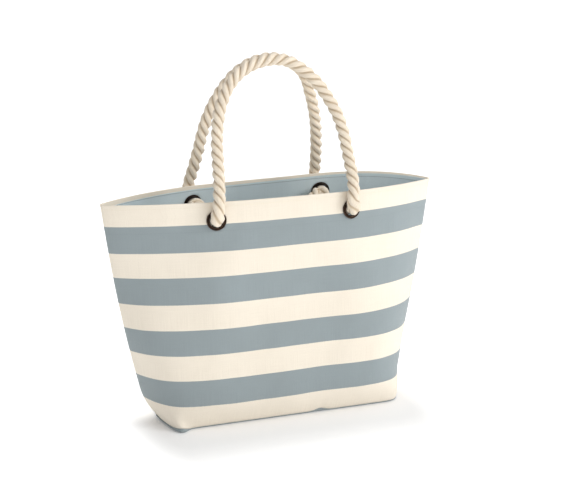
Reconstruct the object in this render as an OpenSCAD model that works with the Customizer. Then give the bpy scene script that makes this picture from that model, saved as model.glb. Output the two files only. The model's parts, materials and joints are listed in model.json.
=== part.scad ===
// Beach bag: boxed canvas tote with two twisted rope handles.
// Millimetres. +Z is up, X runs along the bag's width, the front panel faces -Y.
// The origin is on the floor under the middle of the base.

/* [Canvas shell] */
// Half width of the mouth, out to the side seams
rim_half_w = 259; // [245:1:270]
// Half width of the walls low down, where the sides run out straight
base_half_w = 197; // [190:1:203]
// How far the foot of the left side is drawn in below that, to the boxed corners
foot_in_left = 13; // [0:0.5:16]
// The same at the foot of the right side
foot_in_right = 2; // [0:0.5:6]
// How far the front left corner of the base is pulled out forwards
corner_pull = 16; // [0:1:18]
// Half depth of the bag low down on the front
front_low_d = 84; // [80:1:88]
// Half depth of the bag low down on the back
back_low_d = 86; // [82:1:89]
// How far the foot of the front and back rounds in under that, to the base seam
heel_in = 18; // [12:1:20]
// Half depth of the open mouth on the front
front_mouth_d = 66; // [60:1:70]
// Half depth of the open mouth on the back
back_mouth_d = 59; // [56:1:66]
// Height of the front and back walls above the base seam
wall_h = 332; // [316:1:346]
// How much the right half of the back rim stands up above the rest
back_rise = 5; // [0:0.5:7]
// How much lower than mid-width the mouth is at the side seams
tip_drop = 6; // [0:1:12]
// Outward bow of the front and back halfway up
face_bow = 4; // [0:0.5:6]
// Outward bow of the side seams halfway up
side_bow = 5.5; // [0:0.5:8]
// Thickness of the striped canvas
canvas_t = 1.2; // [0.8:0.1:1.4]
// Depth of the hem turned down inside the mouth
hem_h = 46; // [44:1:60]

/* [Lining and base] */
// Thickness of the lining cloth
lining_t = 0.8; // [0.5:0.1:1.0]
// Height of canvas showing inside the mouth above the lining
lining_drop = 5.5; // [4:0.5:8]
// Height of the base seam on the front and back
seam_z = 5; // [5:0.5:7]
// Height of the base seam on the short sides
seam_side_z = 3.5; // [3:0.5:5]
// Thickness of the stiffening board in the base
board_t = 2.1; // [1.5:0.1:2.2]

/* [Eyelets] */
// Half the distance between the two eyelets of a side
eyelet_x = 103.5; // [95:0.5:112]
// How far the front pair sits off the middle
front_shift = -2.3; // [-3:0.1:3]
// How far the back pair sits off the middle
back_shift = -3.5; // [-4:0.1:3]
// Distance of the eyelet centres below the rim
eyelet_drop = 27.5; // [25:0.5:29]
// Radius of the hole through an eyelet
eyelet_bore_r = 10; // [9.5:0.1:10.5]
// Outer radius of an eyelet's rolled flange
eyelet_rim_r = 14.5; // [14.2:0.1:16]

/* [Rope] */
// Radius of the three-strand rope
rope_r = 9; // [8:0.25:9]
// Radius of the stopper knot inside the bag
knot_r = 20; // [18:0.5:21]
// How far the middle of the knot lies below the middle of its eyelet
knot_drop = 14; // [10:1:24]
// Length of rope tail below the knot
tail_l = 34; // [24:1:40]

/* [Hidden] */
rim_p_front = 2.65;
rim_p_back = 2.45;
rim_p_back_right = 3;
corner_p = 10;
foot_v = 0.14;
foot_p = 17;
tip_sag = 3;
gap = 0.2;
fold_r = canvas_t + gap / 2;
fold_v = 1 - fold_r / wall_h;
hem_d = 2 * canvas_t + 2 * gap;
lining_low_d = canvas_t + 0.5;
half_cols = 16;
wall_rows = 12;
base_inset = 4;
board_z = canvas_t + 0.3;
floor_cloth_z = board_z + board_t + 0.3;
eyelet_v = 1 - eyelet_drop / wall_h;
barrel_t = 1;
stack_t = hem_d + lining_t;
washer_t = 1;
washer_d = stack_t + 0.6;
lip_d = washer_d + washer_t + 0.1;
pivot_out = 13.9;
ball_gap = 1.9;
pinch = 1.4;
bend_r = 12;
throat_l = 14;
rope_sides = 12;
whip_l = 10;
whip_t = 0.8;

// Route of the front handle's centreline from the left eyelet to the right one
front_route = [
  [-106.5, -75, 324], [-104.5, -71.8, 336], [-102.5, -67.3, 347], [-100.5, -60.6, 364],
  [-98.8, -50.5, 393], [-97.2, -43, 420], [-93.5, -36.5, 443], [-88, -31, 463],
  [-77, -24.5, 486], [-57, -18, 508], [-35, -14.5, 520], [-9, -12.5, 526],
  [16, -13, 525], [38, -16.5, 513.5], [60, -22, 494.5], [77, -29, 469.5],
  [88.5, -35.5, 447], [96, -43, 420], [100.3, -54, 383], [102.5, -63.4, 358],
  [101.5, -71.2, 338], [98.5, -75.2, 324]
];

// Route of the back handle's centreline from the left eyelet to the right one
back_route = [
  [-108.8, 67, 327], [-107.8, 63, 339.5], [-105, 58.3, 352.5], [-101, 53, 371],
  [-96.5, 48, 392], [-91.5, 40.3, 421], [-84, 33.3, 447], [-73.5, 27, 470],
  [-59.5, 20.8, 492], [-40, 14, 512], [-20, 10.8, 522], [2, 9.8, 525.5],
  [24, 10.8, 522], [46, 14.5, 511], [60.5, 19.8, 495.5], [72, 28, 467],
  [79.5, 34, 446], [86, 41.5, 421], [91, 51, 390], [94, 60, 362],
  [95.5, 67.5, 341], [97.5, 71, 327]
];

canvas_cream = [0.95, 0.92, 0.84];
cloth_blue = [0.57, 0.62, 0.64];
board_grey = [0.55, 0.52, 0.47];
bronze = [0.20, 0.16, 0.14];
rope_cream = [0.89, 0.85, 0.77];
twine_white = [0.93, 0.91, 0.86];

// ---------- shape of the shell ----------
// v is 0 at the base seam and 1 at the rim, m is -1 at the left side seam and 1 at the
// right one, and d is the depth below the outer face.

function foot(v) = pow(max(0, 1 - v / foot_v), 2);

function wall_x(m, v, d) =
  base_half_w + (rim_half_w - base_half_w) * v + side_bow * sin(180 * v)
  - (m < 0 ? foot_in_left : foot_in_right) * foot(v) - d * (1 + 0.6 * v);

function pull(m, v, back) =
  back ? 0 : corner_pull * exp(-pow((m + 0.92) / 0.075, 2)) * pow(max(0, 1 - v / 0.12), 2);

function wall_y(v, d, back) =
  let (
    low = back ? back_low_d : front_low_d,
    mouth = back ? back_mouth_d : front_mouth_d
  )
  low + (mouth - low) * v + face_bow * sin(180 * v) - heel_in * foot(v) - d;

function wall_p(m, v, back) =
  let (rim_p = !back ? rim_p_front : m < 0 ? rim_p_back : rim_p_back_right)
  rim_p + (corner_p - rim_p) * pow(1 - v, 2) + foot_p * foot(v);

function mid_z(v) = seam_z + wall_h * v;

function tip_z(v) =
  seam_side_z + (seam_z + wall_h - tip_drop - seam_side_z) * v - tip_sag * sin(180 * v);

function rise(m, v, back) =
  back ? back_rise * v * v * exp(-pow((m - 0.65) / 0.4, 2)) * (1 - pow(abs(m), 16)) : 0;

function wall_point(m, v, d, dz, back) =
  let (
    k = pow(abs(m), wall_p(m, v, back)),
    y = wall_y(v, d, back) * (1 - k) + pull(m, v, back)
  )
  [wall_x(m, v, d) * m, back ? y : -y,
   mid_z(v) + (tip_z(v) - mid_z(v)) * k + rise(m, v, back) + dz];

function column(i) =
  let (t = abs(i) / half_cols)
  sign(i) * (1 - pow(1 - t, 1.8));

function unit(a) = a / norm(a);

function smooth(t) = let (u = min(max(t, 0), 1)) u * u * (3 - 2 * u);

// ---------- sheets ----------
// A row of a sheet is [v, outer depth, outer lift, inner depth, inner lift].

// Rows crowd towards the foot of the wall, where it curves most.
function row_v(j) = pow(1 - j / wall_rows, 1.5);

function panel_rows() = concat(
  [for (j = [0 : 2])
    [1 - (hem_h / wall_h) * (1 - j / 3), hem_d - gap, 0, hem_d - gap - canvas_t, 0]],
  [for (a = [180 : -45 : 0])
    [fold_v, fold_r + fold_r * -cos(a), fold_r * sin(a),
     fold_r + (gap / 2) * -cos(a), (gap / 2) * sin(a)]],
  [for (j = [1 : wall_rows]) [row_v(j), 0, 0, canvas_t, 0]]
);

function lining_d(v) =
  lining_low_d + (hem_d + gap - lining_low_d) * smooth((v - 0.70) / 0.05);

function lining_rows() =
  let (top = 1 - lining_drop / wall_h)
  [for (j = [0 : wall_rows])
    let (
      v = min(top, row_v(j)),
      d = lining_d(v)
    )
    [v, d, 0, d + lining_t, 0]];

function quad(a, b, c, d, flip) =
  flip ? [[a, c, b], [a, d, c]] : [[a, b, c], [a, c, d]];

// A closed sheet swept across the columns from one side seam to the other.
module sheet(rows, back) {
  n = len(rows);
  last = 2 * half_cols;
  points = [
    for (s = [0 : last])
      for (r = rows)
        for (side = [0, 1])
          wall_point(column(s - half_cols), r[0], r[1 + 2 * side], r[2 + 2 * side], back)
  ];
  function at(s, i, side) = (s * n + i) * 2 + side;
  faces = [
    for (s = [0 : last - 1])
      for (i = [0 : n - 2])
        each concat(
          quad(at(s, i, 0), at(s + 1, i, 0), at(s + 1, i + 1, 0), at(s, i + 1, 0), back),
          quad(at(s, i, 1), at(s, i + 1, 1), at(s + 1, i + 1, 1), at(s + 1, i, 1), back)
        ),
    for (s = [0 : last - 1])
      each concat(
        quad(at(s + 1, 0, 0), at(s, 0, 0), at(s, 0, 1), at(s + 1, 0, 1), back),
        quad(at(s, n - 1, 0), at(s + 1, n - 1, 0), at(s + 1, n - 1, 1), at(s, n - 1, 1), back)
      ),
    for (i = [0 : n - 2])
      each concat(
        quad(at(0, i, 0), at(0, i + 1, 0), at(0, i + 1, 1), at(0, i, 1), back),
        quad(at(last, i + 1, 0), at(last, i, 0), at(last, i, 1), at(last, i + 1, 1), back)
      )
  ];
  polyhedron(points, faces, convexity = 10);
}

// ---------- base ----------

// Outline of the base seam, inset by the given amount, running anticlockwise from the right.
function base_columns() = [for (i = [half_cols : -1 : -half_cols]) column(i)];

function base_point(m, inset, back, z, lift, pulled) =
  let (
    k = pow(abs(m), wall_p(m, 0, back)),
    y = wall_y(0, inset, back) * (1 - k) + (pulled ? pull(m, 0, back) : 0)
  )
  [
    (wall_x(m, 0, 0) - inset) * m,
    back ? y : -y,
    z + lift * (seam_z + (seam_side_z - seam_z) * k)
  ];

function base_ring(inset, z, lift, pulled = true) =
  let (cols = base_columns())
  concat(
    [for (m = cols) base_point(m, inset, true, z, lift, pulled)],
    [for (j = [1 : len(cols) - 2]) base_point(-cols[j], inset, false, z, lift, pulled)]
  );

module base_slab(inset, z, t, pulled) {
  translate([0, 0, z])
    linear_extrude(height = t)
      polygon([for (p = base_ring(inset, 0, 0, pulled)) [p[0], p[1]]]);
}

// A shallow dish: a flat bottom with a turned-up edge that meets the wall at the base seam.
module dish(rings) {
  count = len(rings[0]);
  n = len(rings);
  points = [for (ring = rings) each ring];
  faces = concat(
    [[for (j = [0 : count - 1]) j]],
    [for (i = [0 : n - 2])
      for (j = [0 : count - 1])
        let (k = (j + 1) % count)
        each quad(i * count + j, (i + 1) * count + j,
                  (i + 1) * count + k, i * count + k, false)],
    [[for (j = [count - 1 : -1 : 0]) (n - 1) * count + j]]
  );
  polyhedron(points, faces, convexity = 6);
}

// ---------- eyelets ----------

function eyelet_m(left, back) =
  ((left ? -eyelet_x : eyelet_x) + (back ? back_shift : front_shift)) / wall_x(1, eyelet_v, 0);

function eyelet_point(left, back) = wall_point(eyelet_m(left, back), eyelet_v, 0, 0, back);

function eyelet_normal(left, back) =
  let (
    m = eyelet_m(left, back),
    e = 0.01,
    a = wall_point(m + e, eyelet_v, 0, 0, back) - wall_point(m - e, eyelet_v, 0, 0, back),
    b = wall_point(m, eyelet_v + e, 0, 0, back) - wall_point(m, eyelet_v - e, 0, 0, back)
  )
  unit((back ? -1 : 1) * cross(a, b));

// Puts children on the wall at an eyelet: local +Z points out of the bag, local +X down.
module on_wall(left, back) {
  n = eyelet_normal(left, back);
  translate(eyelet_point(left, back))
    rotate([0, acos(n[2]), atan2(n[1], n[0])])
      children();
}

module eyelet_holes(back) {
  for (left = [true, false])
    on_wall(left, back)
      translate([0, 0, -12])
        cylinder(r = eyelet_bore_r + barrel_t + 0.25, h = 20);
}

function arc(c, r, from, to, steps) =
  [for (i = [0 : steps]) c + r * [cos(from + (to - from) * i / steps),
                                  sin(from + (to - from) * i / steps)]];

// Flange with two rolled ridges, barrel through the cloth and rolled lip inside.
module eyelet(left, back) {
  b = eyelet_bore_r;
  profile = concat(
    arc([eyelet_rim_r - 1.3, 1.1], 1.3, -50, 130, 8),
    arc([b + 1.3, 1.3], 1.3, 50, 180, 8),
    [[b, -lip_d - 0.2]],
    arc([b + 1.2, -lip_d - 0.6], 1.2, 190, 345, 7),
    [[b + 2.4, -lip_d]],
    [[b + barrel_t, -lip_d]],
    [[b + barrel_t, 0.1]]
  );
  on_wall(left, back)
    rotate_extrude()
      polygon(profile);
}

module washer(left, back) {
  inner = eyelet_bore_r + barrel_t + 0.1;
  profile = [
    [inner, -washer_d - washer_t],
    [eyelet_rim_r - 0.6, -washer_d - washer_t],
    [eyelet_rim_r, -washer_d - washer_t + 0.4],
    [eyelet_rim_r, -washer_d],
    [inner, -washer_d]
  ];
  on_wall(left, back)
    rotate_extrude()
      polygon(profile);
}

// ---------- rope ----------

// Hinge point of a handle beside an eyelet: the rope folds here when the handle drops.
function pivot(left, back) = eyelet_point(left, back) + [0, (back ? 1 : -1) * pivot_out, 0];

function spline(p, i, t) =
  let (
    a = p[max(i - 1, 0)],
    b = p[i],
    c = p[i + 1],
    d = p[min(i + 2, len(p) - 1)]
  )
  0.5 * (2 * b + (c - a) * t + (2 * a - 5 * b + 4 * c - d) * t * t
         + (3 * b - a - 3 * c + d) * t * t * t);

function rope_line(route) = concat(
  [for (i = [0 : len(route) - 2]) for (t = [0, 0.5]) spline(route, i, t)],
  [route[len(route) - 1]]
);

// A swept tube with domed ends of radius r, swelling to r + pinch a few steps in from each
// end. It bends in the plane whose normal is given.
module tube(line, r, normal) {
  n = len(line);
  t0 = unit(line[1] - line[0]);
  t1 = unit(line[n - 1] - line[n - 2]);
  start = [for (a = [80, 50, 25]) [line[0] - t0 * r * sin(a), t0, r * cos(a)]];
  end = [for (a = [25, 50, 80]) [line[n - 1] + t1 * r * sin(a), t1, r * cos(a)]];
  body = [
    for (i = [0 : n - 1])
      [line[i], unit(line[min(i + 1, n - 1)] - line[max(i - 1, 0)]),
       r + pinch * smooth(min(i, n - 1 - i) / 4)]
  ];
  rings = concat(start, body, end);
  points = [
    for (g = rings)
      let (u = unit(cross(g[1], normal)), w = cross(g[1], u))
      for (j = [0 : rope_sides - 1])
        g[0] + g[2] * (u * cos(360 * j / rope_sides) + w * sin(360 * j / rope_sides))
  ];
  last = len(rings) - 1;
  faces = concat(
    [[for (j = [0 : rope_sides - 1]) j]],
    [for (i = [0 : last - 1])
      for (j = [0 : rope_sides - 1])
        let (k = (j + 1) % rope_sides)
        each quad(i * rope_sides + j, (i + 1) * rope_sides + j,
                  (i + 1) * rope_sides + k, i * rope_sides + k, false)],
    [[for (j = [rope_sides - 1 : -1 : 0]) last * rope_sides + j]]
  );
  polyhedron(points, faces, convexity = 8);
}

module handle(route, back) {
  line = rope_line(concat([pivot(true, back)], route, [pivot(false, back)]));
  tube(line, rope_r - pinch, [0, 0.96, back ? -0.27 : 0.27]);
}

// How far the end of the rope tail lies below the middle of its eyelet.
function tail_end() = knot_drop + knot_r + tail_l;

// Rope through the eyelet, turned down inside the bag into a stopper knot with a tail.
module rope_end(left, back) {
  out = pivot_out - (rope_r - pinch) - ball_gap;
  on_wall(left, back) {
    translate([0, 0, -throat_l])
      cylinder(r = rope_r, h = throat_l + out);
    translate([bend_r, 0, -throat_l])
      rotate([90, 0, 0])
        rotate_extrude(angle = 90)
          translate([-bend_r, 0])
            circle(r = rope_r);
    translate([bend_r - 1, 0, -throat_l - bend_r])
      rotate([0, 90, 0])
        cylinder(r = rope_r, h = tail_end() - bend_r + 1);
    translate([knot_drop, 0, -throat_l - bend_r])
      sphere(r = knot_r * 0.92);
  }
}

// Twine wound round the end of a rope tail so that it cannot unlay.
module whipping(left, back) {
  x = tail_end() - whip_l - 3;
  on_wall(left, back)
    translate([x, 0, -throat_l - bend_r])
      rotate([0, 90, 0])
        difference() {
          cylinder(r = rope_r + whip_t, h = whip_l);
          translate([0, 0, -1])
            cylinder(r = rope_r + 0.05, h = whip_l + 2);
        }
}

// ---------- sub-parts ----------

module front_panel() {
  color(canvas_cream)
    difference() {
      sheet(panel_rows(), false);
      eyelet_holes(false);
    }
}

module back_panel() {
  color(canvas_cream)
    difference() {
      sheet(panel_rows(), true);
      eyelet_holes(true);
    }
}

module base_panel() {
  color(cloth_blue)
    dish([
      base_ring(base_inset, 0, 0),
      base_ring(1.2, 1, 0),
      base_ring(0.2, 2.4, 0),
      base_ring(0.1, -gap, 1),
      base_ring(canvas_t, -gap, 1),
      base_ring(canvas_t + 0.1, 2.6, 0),
      base_ring(base_inset + 0.3, canvas_t, 0)
    ]);
}

module front_lining() {
  color(cloth_blue)
    difference() {
      sheet(lining_rows(), false);
      eyelet_holes(false);
    }
}

module back_lining() {
  color(cloth_blue)
    difference() {
      sheet(lining_rows(), true);
      eyelet_holes(true);
    }
}

module base_lining() {
  color(cloth_blue)
    base_slab(lining_low_d + lining_t + 0.5, floor_cloth_z, lining_t, true);
}

module base_board() {
  color(board_grey)
    base_slab(base_inset + 2, board_z, board_t, false);
}

module eyelet_front_left() {
  color(bronze)
    eyelet(true, false);
}

module eyelet_front_right() {
  color(bronze)
    eyelet(false, false);
}

module eyelet_back_left() {
  color(bronze)
    eyelet(true, true);
}

module eyelet_back_right() {
  color(bronze)
    eyelet(false, true);
}

module washer_front_left() {
  color(bronze)
    washer(true, false);
}

module washer_front_right() {
  color(bronze)
    washer(false, false);
}

module washer_back_left() {
  color(bronze)
    washer(true, true);
}

module washer_back_right() {
  color(bronze)
    washer(false, true);
}

module front_handle() {
  color(rope_cream)
    handle(front_route, false);
}

module back_handle() {
  color(rope_cream)
    handle(back_route, true);
}

module rope_end_front_left() {
  color(rope_cream)
    rope_end(true, false);
}

module rope_end_front_right() {
  color(rope_cream)
    rope_end(false, false);
}

module rope_end_back_left() {
  color(rope_cream)
    rope_end(true, true);
}

module rope_end_back_right() {
  color(rope_cream)
    rope_end(false, true);
}

module whipping_front_left() {
  color(twine_white)
    whipping(true, false);
}

module whipping_front_right() {
  color(twine_white)
    whipping(false, false);
}

module whipping_back_left() {
  color(twine_white)
    whipping(true, true);
}

module whipping_back_right() {
  color(twine_white)
    whipping(false, true);
}

front_panel();
back_panel();
base_panel();
front_lining();
back_lining();
base_lining();
base_board();
eyelet_front_left();
eyelet_front_right();
eyelet_back_left();
eyelet_back_right();
washer_front_left();
washer_front_right();
washer_back_left();
washer_back_right();
front_handle();
back_handle();
rope_end_front_left();
rope_end_front_right();
rope_end_back_left();
rope_end_back_right();
whipping_front_left();
whipping_front_right();
whipping_back_left();
whipping_back_right();
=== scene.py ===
"""Beach bag: striped canvas tote with two laid cotton rope handles, on a pale floor."""

import json

import bmesh
import bpy
import numpy as np
from mathutils import Matrix, Vector


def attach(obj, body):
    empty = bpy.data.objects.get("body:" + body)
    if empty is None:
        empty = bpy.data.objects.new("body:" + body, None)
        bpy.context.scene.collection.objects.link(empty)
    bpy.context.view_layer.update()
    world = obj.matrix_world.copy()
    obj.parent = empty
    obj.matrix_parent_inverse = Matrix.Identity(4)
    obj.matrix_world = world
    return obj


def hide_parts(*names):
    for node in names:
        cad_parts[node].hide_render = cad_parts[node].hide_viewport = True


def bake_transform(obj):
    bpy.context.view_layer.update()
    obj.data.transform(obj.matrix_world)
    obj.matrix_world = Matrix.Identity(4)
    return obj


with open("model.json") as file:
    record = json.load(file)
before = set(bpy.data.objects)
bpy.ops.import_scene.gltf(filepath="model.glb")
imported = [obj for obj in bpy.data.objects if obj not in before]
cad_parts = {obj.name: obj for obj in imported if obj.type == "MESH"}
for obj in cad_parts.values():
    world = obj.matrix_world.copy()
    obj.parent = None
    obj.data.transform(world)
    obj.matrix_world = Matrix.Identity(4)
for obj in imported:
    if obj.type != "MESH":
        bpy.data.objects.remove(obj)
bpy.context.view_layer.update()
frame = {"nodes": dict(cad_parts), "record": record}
MM = 0.001
TAU = 2 * np.pi

# ---------------------------------------------------------------- camera

AZIMUTH, ELEVATION = np.radians(-20.7), np.radians(14.8)
DISTANCE = 2.137
camera_right = Vector((np.cos(AZIMUTH), np.sin(AZIMUTH), 0))
camera_back = Vector(
    (
        np.sin(AZIMUTH) * np.cos(ELEVATION),
        -np.cos(AZIMUTH) * np.cos(ELEVATION),
        np.sin(ELEVATION),
    )
)
camera_target = camera_right * 0.0273 + Vector((0, 0, 0.24485))
camera_data = bpy.data.cameras.new("camera")
camera_data.sensor_width = 36
camera_data.lens = 36 * 1432 / 580
camera = bpy.data.objects.new("camera", camera_data)
bpy.context.scene.collection.objects.link(camera)
camera_up = camera_back.cross(camera_right)
camera.matrix_world = Matrix.Translation(camera_target + camera_back * DISTANCE) @ Matrix(
    (
        (camera_right.x, camera_up.x, camera_back.x, 0),
        (camera_right.y, camera_up.y, camera_back.y, 0),
        (camera_right.z, camera_up.z, camera_back.z, 0),
        (0, 0, 0, 1),
    )
)
bpy.context.scene.camera = camera

# ---------------------------------------------------------------- mesh tools


def link(obj):
    bpy.context.scene.collection.objects.link(obj)
    return obj


def make(name, points, quads, material, uv=None):
    """A mesh object from points in millimetres and a list or array of faces."""
    mesh = bpy.data.meshes.new(name)
    points = np.asarray(points, float) * MM
    faces = [tuple(int(i) for i in f) for f in quads]
    mesh.from_pydata(points.tolist(), [], faces)
    if uv is not None:
        layer = mesh.uv_layers.new(name="uv")
        loops = np.empty(len(mesh.loops), np.int32)
        mesh.loops.foreach_get("vertex_index", loops)
        layer.data.foreach_set("uv", np.asarray(uv, np.float32)[loops].ravel())
    mesh.polygons.foreach_set("use_smooth", [True] * len(mesh.polygons))
    mesh.materials.append(material)
    mesh.update()
    return link(bpy.data.objects.new(name, mesh))


def face_outward(obj):
    work = bmesh.new()
    work.from_mesh(obj.data)
    bmesh.ops.recalc_face_normals(work, faces=work.faces)
    work.to_mesh(obj.data)
    work.free()
    obj.data.update()


def unit(a):
    a = np.asarray(a, float)
    return a / np.maximum(np.linalg.norm(a, axis=-1, keepdims=True), 1e-12)


def smooth(t):
    t = np.clip(t, 0, 1)
    return t * t * (3 - 2 * t)


def bell(x, middle, spread):
    """A smooth bump: 1 at the middle, next to nothing two spreads away."""
    return np.exp(-(((x - middle) / spread) ** 2))


def run_along(line):
    """Length along a curve up to each of its points."""
    return np.concatenate([[0], np.cumsum(np.linalg.norm(np.diff(line, axis=0), axis=1))])


def sample(at, run, line):
    """Points at given lengths along a curve."""
    return np.stack([np.interp(at, run, line[:, i]) for i in range(3)], -1)


def ring_quads(count, around):
    """Point numbers of rings in a row, the next point round each, and the faces between."""
    ids = np.arange(count * around).reshape(count, around)
    nxt = np.roll(ids, -1, axis=1)
    return ids, nxt, np.stack([ids[:-1], nxt[:-1], nxt[1:], ids[1:]], -1).reshape(-1, 4)


def stand_in(obj, node):
    """Shows obj in place of a CAD node of the bag's body."""
    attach(obj, "bag")
    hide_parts(node)


# ---------------------------------------------------------------- materials


def srgb(r, g, b):
    """Linear colour of an sRGB colour given from 0 to 255."""
    c = np.array([r, g, b]) / 255
    return (*np.where(c <= 0.04045, c / 12.92, ((c + 0.055) / 1.055) ** 2.4), 1.0)


class Nodes:
    """A material and short names for the nodes that it is built from."""

    def __init__(self, name):
        self.material = bpy.data.materials.new(name)
        self.material.use_nodes = True
        self.tree = self.material.node_tree
        self.tree.nodes.clear()
        self.shader = self.add("ShaderNodeBsdfPrincipled")
        out = self.add("ShaderNodeOutputMaterial")
        self.tree.links.new(self.shader.outputs[0], out.inputs[0])

    def add(self, kind, **settings):
        node = self.tree.nodes.new(kind)
        for key, value in settings.items():
            setattr(node, key, value)
        return node

    def set(self, socket, value):
        if isinstance(value, bpy.types.NodeSocket):
            self.tree.links.new(value, socket)
        else:
            socket.default_value = value

    def math(self, operation, *values):
        node = self.add("ShaderNodeMath", operation=operation)
        for socket, value in zip(node.inputs, values):
            self.set(socket, value)
        return node.outputs[0]

    def vector(self, operation, *values, output="Vector"):
        node = self.add("ShaderNodeVectorMath", operation=operation)
        for socket, value in zip(node.inputs, values):
            self.set(socket, value)
        return node.outputs[output]

    def place(self, kind="Object"):
        return self.add("ShaderNodeTexCoord").outputs[kind]

    def along_axes(self, vector):
        split = self.add("ShaderNodeSeparateXYZ")
        self.set(split.inputs[0], vector)
        return split.outputs[0], split.outputs[1]

    def attribute(self, name):
        return self.add("ShaderNodeAttribute", attribute_name=name).outputs["Fac"]

    def noise(self, vector, scale, detail=3.0, roughness=0.55):
        node = self.add("ShaderNodeTexNoise")
        self.set(node.inputs["Vector"], vector)
        node.inputs["Scale"].default_value = scale
        node.inputs["Detail"].default_value = detail
        node.inputs["Roughness"].default_value = roughness
        return node.outputs["Fac"]

    def stretch(self, vector, scale):
        node = self.add("ShaderNodeMapping")
        self.set(node.inputs["Vector"], vector)
        node.inputs["Scale"].default_value = scale
        return node.outputs[0]

    def ramp(self, value, stops, mode="LINEAR"):
        node = self.add("ShaderNodeValToRGB")
        node.color_ramp.interpolation = mode
        elements = node.color_ramp.elements
        while len(elements) < len(stops):
            elements.new(0.5)
        for element, (place, colour) in zip(elements, stops):
            element.position = place
            element.color = colour
        self.set(node.inputs[0], value)
        return node.outputs[0]

    def mix(self, amount, a, b, blend="MIX"):
        node = self.add("ShaderNodeMix", data_type="RGBA", blend_type=blend)
        self.set(node.inputs[0], amount)
        self.set(node.inputs[6], a)
        self.set(node.inputs[7], b)
        return node.outputs[2]

    def bump(self, height, distance, strength=1.0, below=None):
        node = self.add("ShaderNodeBump")
        node.inputs["Distance"].default_value = distance
        node.inputs["Strength"].default_value = strength
        self.set(node.inputs["Height"], height)
        if below is not None:
            self.set(node.inputs["Normal"], below)
        return node.outputs[0]


CREAM = srgb(245, 236, 221)
BLUE = srgb(150, 161, 165)
LINING = srgb(216, 231, 237)
STRIPE_EDGES = (32.0, 70.4, 107.6, 146.0, 183.2, 221.6, 258.8, 297.2)
STRIPE_SPAN = 0.4  # metres down from the rim that the stripe ramp covers


def woven(name, pitch, striped, colour, rough=0.86, depth=0.00016):
    """Plain-weave cloth, with painted shade in the pits of the weave. UV is in metres: along
    the weft, and down from the rim.
    """
    n = Nodes(name)
    uv, place = n.place("UV"), n.place()
    u, v = n.along_axes(uv)
    drift = n.math("MULTIPLY", n.math("SUBTRACT", n.noise(uv, 60.0), 0.5), 0.0012)
    warp = n.math("SINE", n.math("MULTIPLY", n.math("ADD", u, drift), TAU / pitch))
    weft = n.math("SINE", n.math("MULTIPLY", n.math("ADD", v, drift), TAU / pitch))
    cross = n.math("MULTIPLY_ADD", n.math("MULTIPLY", warp, weft), 0.5, 0.5)
    slub_v = n.noise(n.stretch(uv, (1400.0, 26.0, 1.0)), 1.0, 2.0)
    slub_u = n.noise(n.stretch(uv, (26.0, 1400.0, 1.0)), 1.0, 2.0)
    slub = n.math("ADD", n.math("MULTIPLY", slub_v, 0.6), n.math("MULTIPLY", slub_u, 0.4))
    if striped:
        edge = n.math("MULTIPLY_ADD", n.math("SUBTRACT", slub_v, 0.5), 0.0007, v)
        stops = [(0.0, CREAM)]
        for i, mm in enumerate(STRIPE_EDGES):
            stops.append((mm * MM / STRIPE_SPAN, BLUE if i % 2 == 0 else CREAM))
        base = n.ramp(n.math("DIVIDE", edge, STRIPE_SPAN), stops, "CONSTANT")
    else:
        base = colour
    cloud = n.noise(place, 9.0, 3.0)
    fleck = n.noise(uv, 900.0, 2.0)
    tone = n.ramp(cloud, [(0.30, (0.955, 0.95, 0.94, 1)), (0.70, (1.02, 1.02, 1.02, 1))])
    thread = n.ramp(slub, [(0.32, (0.93, 0.925, 0.915, 1)), (0.68, (1.03, 1.03, 1.03, 1))])
    # Painted shade: darker in the pits of the weave, where the weave bump is low.
    pit_shade = n.ramp(cross, [(0.0, (0.90, 0.89, 0.875, 1)), (0.65, (1, 1, 1, 1))])
    specks = n.ramp(fleck, [(0.28, (0.88, 0.86, 0.82, 1)), (0.40, (1, 1, 1, 1))])
    base = n.mix(1.0, base, tone, "MULTIPLY")
    base = n.mix(0.8, base, thread, "MULTIPLY")
    base = n.mix(0.7, base, pit_shade, "MULTIPLY")
    base = n.mix(0.5, base, specks, "MULTIPLY")
    n.set(n.shader.inputs["Base Color"], base)
    n.set(
        n.shader.inputs["Roughness"],
        n.math("MULTIPLY_ADD", slub, 0.12, rough - 0.06),
    )
    soft = n.bump(n.noise(place, 28.0, 3.0), 0.0011, 0.35)
    rib = n.bump(slub, 0.00022, 0.6, soft)
    n.set(n.shader.inputs["Normal"], n.bump(cross, depth, 0.85, rib))
    n.shader.inputs["Sheen Weight"].default_value = 0.25
    n.shader.inputs["Sheen Roughness"].default_value = 0.5
    n.shader.inputs["Specular IOR Level"].default_value = 0.25
    return n.material


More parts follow.
